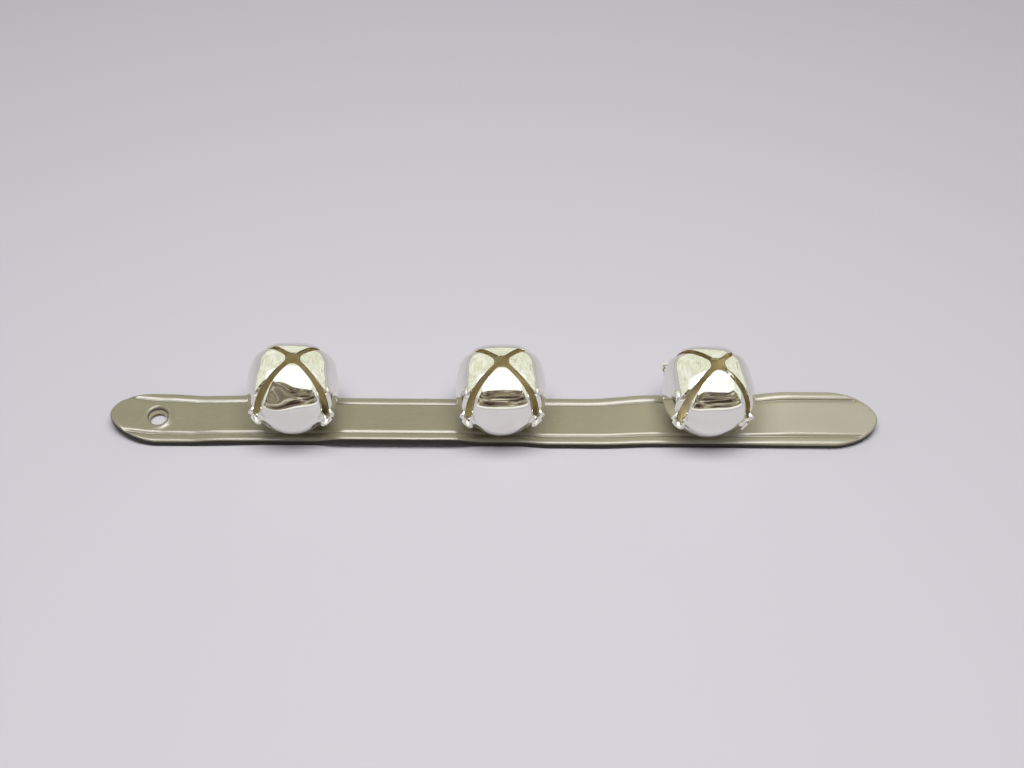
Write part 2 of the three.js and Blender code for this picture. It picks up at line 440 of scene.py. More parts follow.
def drawn_out(tree, place, scale, rotation=(0, 0, 0)):
    """Coordinates that make a pattern finer or longer along each axis."""
    return add_node(tree, "ShaderNodeMapping", {
        "Vector": place, "Scale": scale, "Rotation": rotation}).outputs[0]


def mottled(tree, place, scale, detail, roughness=0.5, distortion=0):
    """The strength of a noise pattern, with its scale in patches a metre."""
    return add_node(tree, "ShaderNodeTexNoise", {
        "Vector": place, "Scale": scale, "Detail": detail,
        "Roughness": roughness, "Distortion": distortion}).outputs["Fac"]


def ranged(tree, value, low=0, high=1, start=0, end=1):
    """Turns the range from low to high into the one from start to end."""
    return add_node(tree, "ShaderNodeMapRange", {
        "Value": value, "From Min": low, "From Max": high,
        "To Min": start, "To Max": end}).outputs[0]


def mix_colors(tree, share, first, second, blend="MIX"):
    return add_node(
        tree, "ShaderNodeMix", {0: share, 6: first, 7: second},
        data_type="RGBA", blend_type=blend).outputs[2]


def bumped(tree, height, strength, depth, **settings):
    return add_node(tree, "ShaderNodeBump", {
        "Height": height, "Strength": strength, "Distance": depth}, **settings)


def new_material(name, inputs):
    """A material with one Principled shader, and the node tree and shader to build on."""
    material = bpy.data.materials.new(name)
    material.use_nodes = True
    tree = material.node_tree
    shader = tree.nodes["Principled BSDF"]
    set_inputs(tree, shader, inputs)
    return material, tree, shader


grey = (0.205, 0.184, 0.110, 1)
pale = (0.270, 0.243, 0.152, 1)
dust = (0.360, 0.330, 0.225, 1)
lit_end_color = (0.460, 0.420, 0.310, 1)
# Edge dye, made blacker still as painted shade on the strap's sides and rounded edges
dyed_shaded_edge_color = (0.012, 0.011, 0.008, 1)
rubbed_color = (0.035, 0.032, 0.020, 1)
look_colors = {
    # painted shade in the crease lines
    "crease_shade": (0.090, 0.075, 0.040, 1),
    "flesh_side": (0.180, 0.140, 0.095, 1),
    "cut_edge_dye_and_shade": dyed_shaded_edge_color,
    # painted shade round the hanging hole's rim
    "painted_rim_shade": dyed_shaded_edge_color,
    # raw tan leather, lightened as painted light on the hole's wall
    "raw_hole_with_painted_light": (0.820, 0.720, 0.400, 1),
}
lit_end_from = 0.005
lit_end_to = 0.135
leather_bump = 0.0001


def dyed_leather():
    """Waxed leather that has greyed and dusted over, with painted light that makes it lighter towards the
    plain end: painted shade down the creases and round the punched hole, tan in the hole and
    lightened there as painted light, and fibrous on the back."""
    material, tree, shader = new_material("Dyed harness leather", {
        "Specular IOR Level": 0.8, "Coat Weight": 0.8, "Coat Roughness": 0.22})
    place = object_place(tree)
    along_strap = drawn_out(tree, place, (0.25, 1, 1))
    cloudy = mottled(tree, along_strap, scale=110, detail=5, roughness=0.55)
    rubbed = mottled(tree, along_strap, scale=1400, detail=4, roughness=0.6)
    pores = add_node(tree, "ShaderNodeTexVoronoi", {"Vector": place, "Scale": 2200})
    color = mix_colors(tree, cloudy, grey, pale)
    specks = ranged(tree, rubbed, low=0.55, high=0.80, end=0.5)
    color = mix_colors(tree, specks, color, dust)
    along = add_node(tree, "ShaderNodeSeparateXYZ", {0: place}).outputs["X"]
    # Painted light: the leather gets lighter towards the plain end, which tilts up to the light
    towards_end = ranged(tree, along, lit_end_from, lit_end_to, end=0.5)
    color = mix_colors(tree, towards_end, color, lit_end_color)
    for name, look_color in look_colors.items():
        mask = add_node(tree, "ShaderNodeAttribute", attribute_name=name).outputs["Fac"]
        color = mix_colors(tree, mask, color, look_color)
    fine = bumped(tree, pores.outputs["Distance"], strength=0.2, depth=leather_bump)
    coarse = bumped(tree, rubbed, strength=0.3, depth=leather_bump)
    set_inputs(tree, coarse, {"Normal": fine.outputs[0]})
    set_inputs(tree, shader, {
        "Base Color": color,
        "Roughness": ranged(tree, cloudy, start=0.24, end=0.38),
        "Normal": coarse.outputs[0]})
    return material


def edge_dye_and_shade():
    """The cut edge, dyed black and made blacker still as painted shade, rubbed smooth over its layers of
    fibre.
    """
    material, tree, shader = new_material("Edge dye and painted shade", {"Roughness": 0.6, "Specular IOR Level": 0.3})
    layered = drawn_out(tree, object_place(tree), (0.08, 0.08, 1))
    fibres = mottled(tree, layered, scale=2600, detail=3)
    set_inputs(tree, shader, {
        "Base Color": mix_colors(tree, fibres, dyed_shaded_edge_color, rubbed_color),
        "Normal": bumped(tree, fibres, strength=0.3, depth=leather_bump).outputs[0]})
    return material


strap = finish_piece(make_strap(), "creased_strap", dyed_leather(), edge_dye_and_shade())
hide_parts("leather_strap")
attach(strap, "root")


# Rivets and burrs. Each bell is held by one semi-tubular steel rivet, plated like the bell.
# Its low domed head sits inside the foot, the shank goes through foot and leather, and the
# hollow end is rolled outwards over a washer, the burr, in its seat in the strap's back.
shank_radius = 0.0021
head_radius = 0.00475
head_rim = 0.0005
head_height = 0.0015
tail_radius = 0.0032
tail_height = 0.0006
bore_radius = 0.0012
bore_depth = 0.0026
rim_round = 0.0002
turned_steps = 72
corner_steps = 5
roll_steps = 8
head_steps = 12
bore_end_share = 0.7
bore_end_height = 0.0003


def turned_piece(profile, middle):
    """A closed mesh turned round an upright axis from radius and height pairs."""
    mesh = bmesh.new()
    rings = []
    for radius, height in profile:
        steps = turned_steps if radius > 0 else 1
        rings.append([])
        for step in range(steps):
            angle = math.tau * step / turned_steps
            x = middle[0] + radius * math.cos(angle)
            y = middle[1] + radius * math.sin(angle)
            rings[-1].append(mesh.verts.new((x, y, height)))
    closed = profile[0][0] > 0 and profile[-1][0] > 0
    pairs = list(zip(rings, rings[1:]))
    if closed:
        pairs.append((rings[-1], rings[0]))
    for one, other in pairs:
        for step in range(turned_steps):
            corners = []
            for row, place in ((one, step), (one, step + 1), (other, step + 1), (other, step)):
                corner = row[place % len(row)]
                if corner not in corners:
                    corners.append(corner)
            mesh.faces.new(corners)
    return mesh


def corner_arc(radius, height, size, start, end, steps=corner_steps):
    """Points of a rounded corner about its centre, between two angles in degrees."""
    points = []
    for step in range(steps + 1):
        angle = math.radians(start + (end - start) * step / steps)
        points.append((radius + size * math.cos(angle), height + size * math.sin(angle)))
    return points


def rivet_profile(bottom, top):
    """Half outline of a rivet: open bore, rolled tail, shank, and domed head."""
    head_bottom = top - head_height
    bore_top = bottom + bore_depth
    roll_middle = (bore_radius + tail_radius) / 2
    roll_half = (tail_radius - bore_radius) / 2
    points = [(0, bore_top), (bore_radius * bore_end_share, bore_top - bore_end_height)]
    points.append((bore_radius, bore_top - bore_radius / 2))
    for step in range(roll_steps + 1):
        angle = math.pi * (1 + step / roll_steps)
        height = bottom + tail_height * (1 + math.sin(angle))
        points.append((roll_middle + roll_half * math.cos(angle), height))
    points.append((shank_radius + rim_round, bottom + tail_height))
    points.append((shank_radius, bottom + tail_height + rim_round))
    points.append((shank_radius, head_bottom))
    points += corner_arc(head_radius - rim_round, head_bottom + rim_round, rim_round, -90, 0)
    for step in range(head_steps):
        angle = math.pi / 2 * step / head_steps
        height = head_bottom + head_rim + math.sin(angle) * (head_height - head_rim)
        points.append((head_radius * math.cos(angle), height))
    points.append((0, head_bottom + head_height))
    return points


def burr_profile(low, high, outer):
    """Outline of a burr's ring, with all four corners rounded."""
    inner = rivet_hole_radius + rim_round
    outer -= rim_round
    low += rim_round
    high -= rim_round
    points = []
    for radius, height, start in ((inner, low, 180), (outer, low, 270), (outer, high, 0), (inner, high, 90)):
        points += corner_arc(radius, height, rim_round, start, start + 90)
    return points


def handling_group():
    """Smudges, rub marks and faint scratches that all the bright metal shares."""
    tree = bpy.data.node_groups.new("Handling marks", "ShaderNodeTree")
    for name in ("Smudge Size", "Scratch Size"):
        tree.interface.new_socket(name, in_out="INPUT", socket_type="NodeSocketFloat")
    for name in ("Smudges", "Scratches"):
        tree.interface.new_socket(name, in_out="OUTPUT", socket_type="NodeSocketFloat")
    given = add_node(tree, "NodeGroupInput")
    place = object_place(tree)
    scales = []
    for size in given.outputs[:2]:
        divided = add_node(tree, "ShaderNodeMath", {0: 1, 1: size}, operation="DIVIDE")
        scales.append(divided.outputs[0])
    smudges = mottled(tree, place, scales[0], detail=5, distortion=0.6)
    lengthwise = drawn_out(tree, place, (1, 0.06, 1), rotation=(0.4, 0.9, 0.3))
    scratches = mottled(tree, lengthwise, scales[1], detail=2)
    add_node(tree, "NodeGroupOutput", {
        0: ranged(tree, smudges, low=0.42, high=0.72),
        1: ranged(tree, scratches, low=0.60, high=0.72)})
    return tree


handling_marks = handling_group()
scratch_share = 1 / 20


def bright_metal(name, color, smudged_color, polish, smudged_polish, smudge_size, scratch_depth):
    """Polished or plated metal: mirror bright, duller where it has been handled."""
    material, tree, shader = new_material(name, {"Metallic": 1})
    marks = add_node(tree, "ShaderNodeGroup", node_tree=handling_marks)
    set_inputs(tree, marks, {
        "Smudge Size": smudge_size, "Scratch Size": smudge_size * scratch_share})
    smudges, scratches = marks.outputs
    bump = bumped(tree, scratches, strength=0.3, depth=scratch_depth, invert=True)
    set_inputs(tree, shader, {
        "Base Color": mix_colors(tree, smudges, (*color, 1), (*smudged_color, 1)),
        "Roughness": ranged(tree, smudges, start=polish, end=smudged_polish),
        "Normal": bump.outputs[0]})
    return material


fastener_plating = bright_metal(
    "Rivet plating", (0.72, 0.70, 0.66), (0.50, 0.47, 0.40),
    polish=0.16, smudged_polish=0.38, smudge_size=0.004, scratch_depth=0.00003)

for number, x in enumerate(bell_places, 1):
    rivet_low, rivet_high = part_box(f"rivet_{number}")
    mesh = turned_piece(rivet_profile(rivet_low.z, rivet_high.z), (x, 0))
    rivet = finish_piece(mesh, f"semi_tubular_rivet_{number}", fastener_plating)
    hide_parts(f"rivet_{number}")
    burr_low, burr_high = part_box(f"burr_washer_{number}")
    burr_radius = (burr_high.y - burr_low.y) / 2
    mesh = turned_piece(burr_profile(burr_low.z, burr_high.z, burr_radius), (x, 0))
    burr = finish_piece(mesh, f"riveting_burr_{number}", fastener_plating)
    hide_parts(f"burr_washer_{number}")
    for piece in (rivet, burr):
        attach(piece, "root")


# Bell shells. Each is stamped from one disc of thin steel: a flat foot, a round bowl, and
# four petals folded in over the pellet to a small star. Each slot ends in a round hole, whose
# rim is rolled out into two small ears. Mirror plated, it can turn on its rivet.
ball_slack = 0.00008
ball_radius = (cad_high.y - cad_low.y) / 2 - ball_slack
foot_radius = 0.007
shell_wall = 0.0008
shell_sizes = {
    "Ball Radius": ball_radius,
    "Foot Radius": foot_radius,
    "Foot Hole Radius": rivet_hole_radius,
    "Corner Bulge Share": 0.11,
    "Shoulder Bulge Share": 0.027,
    "Bulge Start Height": -0.008,
    "Bulge Full Height": 0.007,
    "Slot Half Width Top": 0.0011,
    "Slot Half Width Middle": 0.0020,
    "End Hole Radius": 0.0028,
    "End Hole Drop": 0.0016,
    "Petal Reach": 0.0030,
    "Lip Width": 0.0022,
    "Lip Depth": 0.0008,
    "Bead Radius": 0.0006,
    "Bead Turn": math.radians(185),
    "Bead Full Height": 0.0028,
    "Bead Top": 0.0050,
    "Bead Pull": 0.0015,
    "Dent Depth": 0.00012,
    "Dent Spread": 0.007,
}
plated_from = math.radians(25)
plated_to = math.radians(60)
nick_turn = math.radians(12)
nick_spread = math.radians(17)
nick_share = 0.3
petal_columns = 60
zone_rows = {"foot": 4, "bowl": 38, "end hole": 32, "flank": 44}
column_crowding = 0.35
row_crowding = 3 / 5
lip_full_share = 1 / 4
weld_reach = 0.000004
lean_from_share = -0.75
lean_full_share = -0.2
bead_color = (0.97, 0.97, 0.94, 1)
bead_polish = 0.40
edge_width = 0.00018
edge_segments = 2
edge_angle = math.radians(45)


class Field:
    """A number inside a node tree. Arithmetic on fields adds the nodes that work it out."""

    def __init__(self, tree, socket):
        self.tree = tree
        self.socket = socket

    def made_with(self, kind, others, **settings):
        """The first output of a node that takes this field and the others, in that order."""
        values = [getattr(value, "socket", value) for value in (self, *others)]
        node = add_node(self.tree, kind, enumerate(values), **settings)
        return Field(self.tree, node.outputs[0])

    def node(self, operation, *others):
        return self.made_with("ShaderNodeMath", others, operation=operation)

    def __add__(self, other):
        return self.node("ADD", other)

    def __sub__(self, other):
        return self.node("SUBTRACT", other)

    def __mul__(self, other):
        return self.node("MULTIPLY", other)

    def __truediv__(self, other):
        return self.node("DIVIDE", other)

    def __neg__(self):
        return self.node("MULTIPLY", -1)

    def __rsub__(self, other):
        return -self + other

    __radd__ = __add__
    __rmul__ = __mul__

    def squared(self):
        return self.node("MULTIPLY", self)

    def root(self):
        return self.node("MAXIMUM", 0).node("SQRT")

    def between(self, low, high, smooth=False):
        """Goes from 0 to 1 as the field goes from low to high, and stays there past them."""
        steepness = "SMOOTHSTEP" if smooth else "LINEAR"
        return self.made_with("ShaderNodeMapRange", (low, high), interpolation_type=steepness)


def petal_field(tree, given):
    """Place of each point of a flat grid on one petal and its quarter of the bowl."""
    place = add_node(tree, "GeometryNodeInputPosition")
    parts = add_node(tree, "ShaderNodeSeparateXYZ", {0: place.outputs[0]})
    across = Field(tree, parts.outputs["X"])
    across = across * (1 + column_crowding) - across * across.squared() * column_crowding
    up = Field(tree, parts.outputs["Y"]) + 1 / 2
    radius = given["Ball Radius"]
    hole = given["End Hole Radius"]
    drop = given["End Hole Drop"]
    top_half = given["Slot Half Width Top"]
    middle_half = given["Slot Half Width Middle"]

    zones = {}
    start = 0
    for name, rows in zone_rows.items():
        end = start + rows / sum(zone_rows.values())
        zones[name] = up.between(start, end)
        start = end
    from_foot = zones["bowl"]
    zones["bowl"] = from_foot * (1 + row_crowding) - from_foot.squared() * row_crowding

    # Latitudes that part the zones, seen from the ball's middle
    taper = (middle_half - top_half) / radius
    foot_latitude = -(given["Foot Radius"] / radius).node("ARCCOSINE")
    bowl_latitude = ((-drop - hole) / radius).node("ARCSINE")
    flank_half = middle_half + taper * drop
    meeting = math.pi - (flank_half / hole).node("ARCSINE")

    # The tip is an arc of a circle that both slots' flanks touch
    diagonal = math.sqrt(1 / 2)
    tip_radius = (given["Petal Reach"] * diagonal - top_half) / (1 - diagonal)
    tip_centre = given["Petal Reach"] + tip_radius
    touch_along = tip_centre - tip_radius * diagonal
    touch_azimuth = (tip_radius * diagonal).node("ARCTAN2", touch_along)
    tip_azimuth = across * touch_azimuth
    tip_reach = tip_centre * tip_azimuth.node("COSINE") - (
        tip_radius.squared() - (tip_centre * tip_azimuth.node("SINE")).squared()).root()
    corner = (1 - (tip_azimuth * 4).node("COSINE")) / 2
    tip_scale = corner * given["Corner Bulge Share"] + 1
    tip_latitude = (tip_reach / (radius * tip_scale)).node("ARCCOSINE")

    # Zone by zone up the wall
    turn = meeting * zones["end hole"]
    hole_height = -drop - hole * turn.node("COSINE")
    hole_latitude = (hole_height / radius).node("ARCSINE")
    flank_start = ((-drop - hole * meeting.node("COSINE")) / radius).node("ARCSINE")
    latitude = foot_latitude + zones["bowl"] * (bowl_latitude - foot_latitude)
    latitude = latitude + hole_latitude - bowl_latitude
    latitude = latitude + zones["flank"] * (tip_latitude - flank_start)
    foot_gap = given["Foot Radius"] - given["Foot Hole Radius"]
    reach = radius * latitude.node("COSINE") - (1 - zones["foot"]) * foot_gap
    height = radius * latitude.node("SINE")
    rise = height.between(given["Bulge Start Height"], given["Bulge Full Height"], smooth=True)

    on_flank = zones["flank"].node("GREATER_THAN", 0)
    half_width = hole * turn.node("SINE")
    half_width = half_width + on_flank * (middle_half - taper * height - half_width)
    corner_reach = reach * (rise * given["Corner Bulge Share"] + 1)
    widest = math.pi / 4 - (half_width / corner_reach).node("ARCSINE")
    widest = widest.node("MAXIMUM", touch_azimuth * on_flank)
    azimuth = across * widest
    corner = (1 - (azimuth * 4).node("COSINE")) / 2
    reach = reach * (corner * rise * given["Corner Bulge Share"] + 1)
    x = reach * azimuth.node("COSINE")
    y = reach * azimuth.node("SINE")

    # Distance to the nearest cut edge, and what rolling the edge does to the wall there
    to_slot = reach * (math.pi / 4 - azimuth.node("ABSOLUTE")).node("SINE")
    to_hole = (to_slot.squared() + (height + drop).squared()).root() - hole
    above_hole = height.node("GREATER_THAN", -drop)
    far = radius * (1 - above_hole)
    to_flank = to_slot - (middle_half - taper * height) + far
    from_tip_centre = ((x - tip_centre).squared() + y.squared()).root()
    before_tip = x.node("LESS_THAN", tip_centre) * height.node("GREATER_THAN", 0)
    to_tip = tip_radius - from_tip_centre + radius * (1 - before_tip)
    to_edge = to_hole.node("MINIMUM", to_flank).node("MINIMUM", to_tip).node("MAXIMUM", 0)

    # The end hole's rim is rolled outwards into a bead, with a nick at its side
    above_middle = height + drop
    near_hole = above_middle.between(given["Bead Top"], given["Bead Full Height"], smooth=True)
    round_hole = above_middle.node("ARCTAN2", to_slot)
    nick = (-((round_hole + nick_turn) / nick_spread).squared()).node("EXPONENT")
    bead = given["Bead Radius"]
    roll = given["Bead Turn"] * near_hole * (1 - nick * nick_share)
    rolled_length = bead * roll
    past_roll = to_edge.node("MAXIMUM", rolled_length)
    turned = (past_roll - to_edge) / bead
    pulled = rolled_length - bead * roll.node("MINIMUM", math.pi / 2).node("SINE")
    pull = (-(past_roll - rolled_length) / given["Bead Pull"]).node("EXPONENT")
    away = past_roll - bead * turned.node("SINE") - pulled * pull - to_edge
    under = above_middle.node("MINIMUM", 0)
    from_middle = (to_slot.squared() + under.squared()).root().node("MAXIMUM", bead / 100)
    sideways = away * to_slot / from_middle * diagonal
    outwards = bead * (1 - turned.node("COSINE"))

    # The other edges are rolled in, less and less towards the tip
    curl = (1 - to_edge / given["Lip Width"]).node("MAXIMUM", 0).squared()
    lower_slot = height.between(radius, radius * lip_full_share, smooth=True)
    inwards = given["Lip Depth"] * curl * (1 - near_hole) * lower_slot

    # The upper wall stands out at its shoulder, where the petals are folded over
    shoulder = (latitude.node("MAXIMUM", 0) * 2).node("SINE").squared()
    share = (outwards - inwards) / radius + 1 + shoulder * given["Shoulder Bulge Share"]
    place = add_node(tree, "ShaderNodeCombineXYZ", {
        "X": (x * share + sideways).socket,
        "Y": (y * share - sideways * y.node("SIGN")).socket,
        "Z": (height * share + away * under / from_middle).socket})
    return place.outputs[0], turned.between(plated_from, plated_to).socket


def shell_tree():
    """Geometry Nodes that stamp a bell's outer skin: one petal, four times round."""
    tree = bpy.data.node_groups.new("Stamped bell", "GeometryNodeTree")
    face = tree.interface
    for name in [*shell_sizes, "Spin", "Lean Along", "Lean Across", "Knock Depth", "Knock Spread"]:
        face.new_socket(name, in_out="INPUT", socket_type="NodeSocketFloat")
    face.new_socket("Dent Seed", in_out="INPUT", socket_type="NodeSocketFloat")
    face.new_socket("Ball Middle", in_out="INPUT", socket_type="NodeSocketVector")
    face.new_socket("Knock Side", in_out="INPUT", socket_type="NodeSocketVector")
    face.new_socket("Plating", in_out="INPUT", socket_type="NodeSocketMaterial")
    face.new_socket("Shell", in_out="OUTPUT", socket_type="NodeSocketGeometry")
    inputs = add_node(tree, "NodeGroupInput")
    given = {}
    for socket in inputs.outputs[:-1]:
        given[socket.name] = Field(tree, socket)

    def made(kind, inputs=(), **settings):
        return add_node(tree, kind, inputs, **settings).outputs[0]

    grid = made("GeometryNodeMeshGrid", {
        "Size X": 2, "Size Y": 1,
        "Vertices X": petal_columns + 1, "Vertices Y": sum(zone_rows.values()) + 1})
    place, on_bead = petal_field(tree, given)
    marked = made("GeometryNodeStoreNamedAttribute", {"Geometry": grid, "Name": "on_bead", "Value": on_bead})
    petal = made("GeometryNodeSetPosition", {"Geometry": marked, "Position": place})

    # Four petals round the axis, welded into one skin
    hub = made("GeometryNodePoints", {"Count": 4})
    index = made("GeometryNodeInputIndex")
    quarter = Field(tree, index) * (math.pi / 2)
    turned = made("ShaderNodeCombineXYZ", {"Z": quarter.socket})
    petals = made("GeometryNodeInstanceOnPoints", {"Points": hub, "Instance": petal, "Rotation": turned})
    joined = made("GeometryNodeRealizeInstances", {"Geometry": petals})
    welded = made("GeometryNodeMergeByDistance", {"Geometry": joined, "Distance": weld_reach})

    # Shallow dents, the turn on the rivet, and the upper half knocked a little out of upright
    place = made("GeometryNodeInputPosition")
    spread = given["Dent Spread"].node("POWER", -1)
    dents = made("ShaderNodeTexNoise", {
        "Vector": place, "W": given["Dent Seed"].socket, "Scale": spread.socket, "Detail": 1},
        noise_dimensions="4D")
    height = Field(tree, add_node(tree, "ShaderNodeSeparateXYZ", {0: place}).outputs[2])
    depth = Field(tree, dents) * given["Dent Depth"]
    knocked = made("ShaderNodeVectorMath", {
        0: given["Knock Side"].socket, "Scale": given["Ball Radius"].socket}, operation="SCALE")
    apart = Field(tree, add_node(tree, "ShaderNodeVectorMath", {
        0: place, 1: knocked}, operation="DISTANCE").outputs["Value"])
    knock = (-(apart / given["Knock Spread"]).squared()).node("EXPONENT")
    depth = depth + knock * given["Knock Depth"]
    share = 1 - depth / given["Ball Radius"]
    dented = made("ShaderNodeVectorMath", {0: place, "Scale": share.socket}, operation="SCALE")
    radius = given["Ball Radius"]
    weight = height.between(radius * lean_from_share, radius * lean_full_share, smooth=True)
    turns = (
        ("Z_AXIS", given["Spin"]),
        ("Y_AXIS", given["Lean Along"] * weight),
        ("X_AXIS", given["Lean Across"] * weight),
    )
    vector = dented
    for axis, angle in turns:
        vector = made("ShaderNodeVectorRotate", {
            "Vector": vector, "Angle": angle.socket}, rotation_type=axis)
    set_down = made("ShaderNodeVectorMath", {
        0: vector, 1: given["Ball Middle"].socket}, operation="ADD")
    placed = made("GeometryNodeSetPosition", {"Geometry": welded, "Position": set_down})
    smooth = made("GeometryNodeSetShadeSmooth", {"Geometry": placed})
    real = made("GeometryNodeRealizeInstances", {"Geometry": smooth})
    plated = made("GeometryNodeSetMaterial", {
        "Geometry": real, "Material": given["Plating"].socket})
    add_node(tree, "NodeGroupOutput", {0: plated})
    return tree


mirror_plating = bright_metal(
    "Mirror plating", (0.86, 0.85, 0.80), (0.80, 0.79, 0.73),
    polish=0.035, smudged_polish=0.10, smudge_size=0.012, scratch_depth=0.000003)
dull_inside = bright_metal(
    "Dull inside of the shell", (0.92, 0.84, 0.60), (0.80, 0.70, 0.46),
    polish=0.30, smudged_polish=0.50, smudge_size=0.005, scratch_depth=0.00003)


def plate_beads(material):
    """The plating reaches over the rolled beads, so the inside is bright there."""
    tree = material.node_tree
    shader = tree.nodes["Principled BSDF"]
    mask = add_node(tree, "ShaderNodeAttribute", attribute_name="on_bead").outputs["Fac"]
    color = shader.inputs["Base Color"].links[0].from_socket
    polish = shader.inputs["Roughness"].links[0].from_socket
    smoothed = add_node(tree, "ShaderNodeMix", {0: mask, 2: polish, 3: bead_polish}, data_type="FLOAT")
    set_inputs(tree, shader, {
        "Base Color": mix_colors(tree, mask, color, bead_color),
        "Roughness": smoothed.outputs[0]})


plate_beads(dull_inside)


def made_by_nodes(name, tree, values, *materials):
    """Runs a node tree once on an empty mesh and keeps what it makes as a plain mesh."""
    maker = add_object(name, bpy.data.meshes.new(name))
    modifier = maker.modifiers.new(name, "NODES")
    modifier.node_group = tree
    for socket in tree.interface.items_tree:
        if socket.name in values:
            modifier[socket.identifier] = values[socket.name]
    bpy.context.view_layer.update()
    graph = bpy.context.evaluated_depsgraph_get()
    data = bpy.data.meshes.new_from_object(maker.evaluated_get(graph))
    maker.modifiers.remove(modifier)
    maker.data = data
    data.materials.clear()
    for material in materials:
        data.materials.append(material)
    return maker


bell_stances = [
    {"Spin": 2.8, "Lean Along": 5.0, "Lean Across": -1.8, "Dent Seed": 3.1},
    {"Spin": 1.6, "Lean Along": -0.5, "Lean Across": 0.7, "Dent Seed": 8.4},
    {"Spin": 4.0, "Lean Along": 5.5, "Lean Across": 2.2, "Dent Seed": 5.9},
]
bell_knocks = [
    {"Knock Side": (-0.36, -0.71, 0.60), "Knock Depth": 0.00150, "Knock Spread": 0.0060},
    {"Knock Side": (0.40, -0.80, 0.40), "Knock Depth": 0.00008, "Knock Spread": 0.0040},
    {"Knock Side": (-0.34, -0.52, 0.75), "Knock Depth": -0.00015, "Knock Spread": 0.0025},
]
stamped_bell = shell_tree()
middle_above_foot = math.sqrt(ball_radius ** 2 - foot_radius ** 2)
for number, (x, stance, knock) in enumerate(zip(bell_places, bell_stances, bell_knocks), 1):
    foot_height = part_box(f"bell_shell_{number}")[0].z
    values = dict(shell_sizes, Plating=mirror_plating, **knock)
    values["Ball Middle"] = (x, 0, foot_height + middle_above_foot)
    for name, value in stance.items():
        values[name] = value if name == "Dent Seed" else math.radians(value)
    shell = made_by_nodes(f"stamped_bell_{number}", stamped_bell, values, mirror_plating, dull_inside)
    wall = shell.modifiers.new("Wall", "SOLIDIFY")
    wall.thickness = shell_wall
    wall.offset = -1
    wall.use_even_offset = True
    wall.material_offset = 1
    wall.material_offset_rim = 0
    edges = shell.modifiers.new("Softened edges", "BEVEL")
    edges.width = edge_width
    edges.segments = edge_segments
    edges.limit_method = "ANGLE"
    edges.angle_limit = edge_angle
    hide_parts(f"bell_shell_{number}")
    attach(shell, f"bell_{number}")


# Pellets. A loose steel ball, cold-headed from wire, lies in each bell beside the rivet's
# head and strikes the shell when the strap is shaken. The heading dies leave two small
# flats and a faint band round the middle.
pellet_band = 0.00006
pellet_band_spread = 0.05
pellet_flat_share = 1.006
pellet_steps = 40

pellet_steel = bright_metal(
    "Pellet steel", (0.50, 0.47, 0.42), (0.30, 0.26, 0.20),
    polish=0.22, smudged_polish=0.45, smudge_size=0.003, scratch_depth=0.00004)


def pellet_profile(low, high):
    """A ball with two small flats and a thin raised band, from radius and height pairs."""
    radius = (high - low) / 2
    points = [(0, low)]
    for step in range(1, pellet_steps):
        angle = math.pi * (step / pellet_steps - 1 / 2)
        band = pellet_band * math.exp(-(angle / pellet_band_spread) ** 2)
        height = max(-1, min(1, math.sin(angle) * pellet_flat_share))
        points.append((radius * math.cos(angle) + band, low + radius * (1 + height)))
    points.append((0, high))
    return points


for number in range(1, bell_count + 1):
    low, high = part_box(f"pellet_{number}")
    middle = (low + high) / 2
    mesh = turned_piece(pellet_profile(low.z, high.z), (middle.x, middle.y))
    pellet = finish_piece(mesh, f"steel_pellet_{number}", pellet_steel)
    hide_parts(f"pellet_{number}")
    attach(pellet, f"pellet_{number}")


# Studio. The strap lies on a plain pale floor, in the light of one broad soft box above it and
# of pale walls. A white screen overhead, and a dark card with a bright sill behind the camera,
# are there only for the bells to mirror, as they would the parts of a room.
floor_size = 8
floor_color = (0.70, 0.68, 0.76, 1)
floor_tone = (0.60, 0.585, 0.65)
far_floor_from = 0.4
far_floor_to = 0.9
lamp_color = (1, 0.99, 0.95)
lamp_height = 1.0
lamp_width = 0.75
lamp_depth = 0.45
lamp_forward = 0.15
lamp_power = 8.6
screen_height = 1.02
screen_half_width = 1.05
screen_front = 0.77
screen_back = 0.43
screen_glow = 1.25
card_distance = 1.1
card_spread = 62
card_low = 0.5
card_high = 55
card_steps = 24
card_streaks = (1, 1, 3.5)
sill_height = 0.10
sill_color = (1, 0.99, 0.93, 1)
wall_foot = 0.215
wall_foot_softness = 0.004
skirting_drop = 0.008
skirting_half = 0.006
skirting_color = (0.08, 0.07, 0.05, 1)
skirting_ends = -0.85
skirting_full = -0.6
seen_light = (0.9, 0.9, 0.9, 1)
fill_light = (1, 0.99, 0.97, 1)
fill_strength = 0.16


def stage_plane(name, corners, faces, material):
    data = bpy.data.meshes.new(name)
    data.from_pydata(corners, [], faces)
    data.materials.append(material)
    plane = add_object(name, data)
    return plane


def computed(tree, operation, *values):
    """The output of a Math node on values or other outputs."""
    return add_node(tree, "ShaderNodeMath", enumerate(values), operation=operation).outputs[0]


def glowing(name, strength):
    """A material that only gives light, and its tree and emission node."""
    material = bpy.data.materials.new(name)
    material.use_nodes = True
    tree = material.node_tree
    tree.nodes.clear()
    glow = add_node(tree, "ShaderNodeEmission", {"Strength": strength})
    add_node(tree, "ShaderNodeOutputMaterial", {"Surface": glow.outputs[0]})
    return material, tree, glow


def mirrored_only(plane):
    plane.visible_camera = False
    plane.visible_diffuse = False
    plane.visible_shadow = False


def ramp(tree, value, stops):
    """The output of a colour ramp, from a list of positions and colours."""
    node = add_node(tree, "ShaderNodeValToRGB", {"Fac": value})
    elements = node.color_ramp.elements
    ends = (elements[0], elements[1])
    for element, (position, color) in zip(ends, (stops[0], stops[-1])):
        element.position = position
        element.color = (*color, 1)
    for position, color in stops[1:-1]:
        elements.new(position).color = (*color, 1)
    return node.outputs[0]


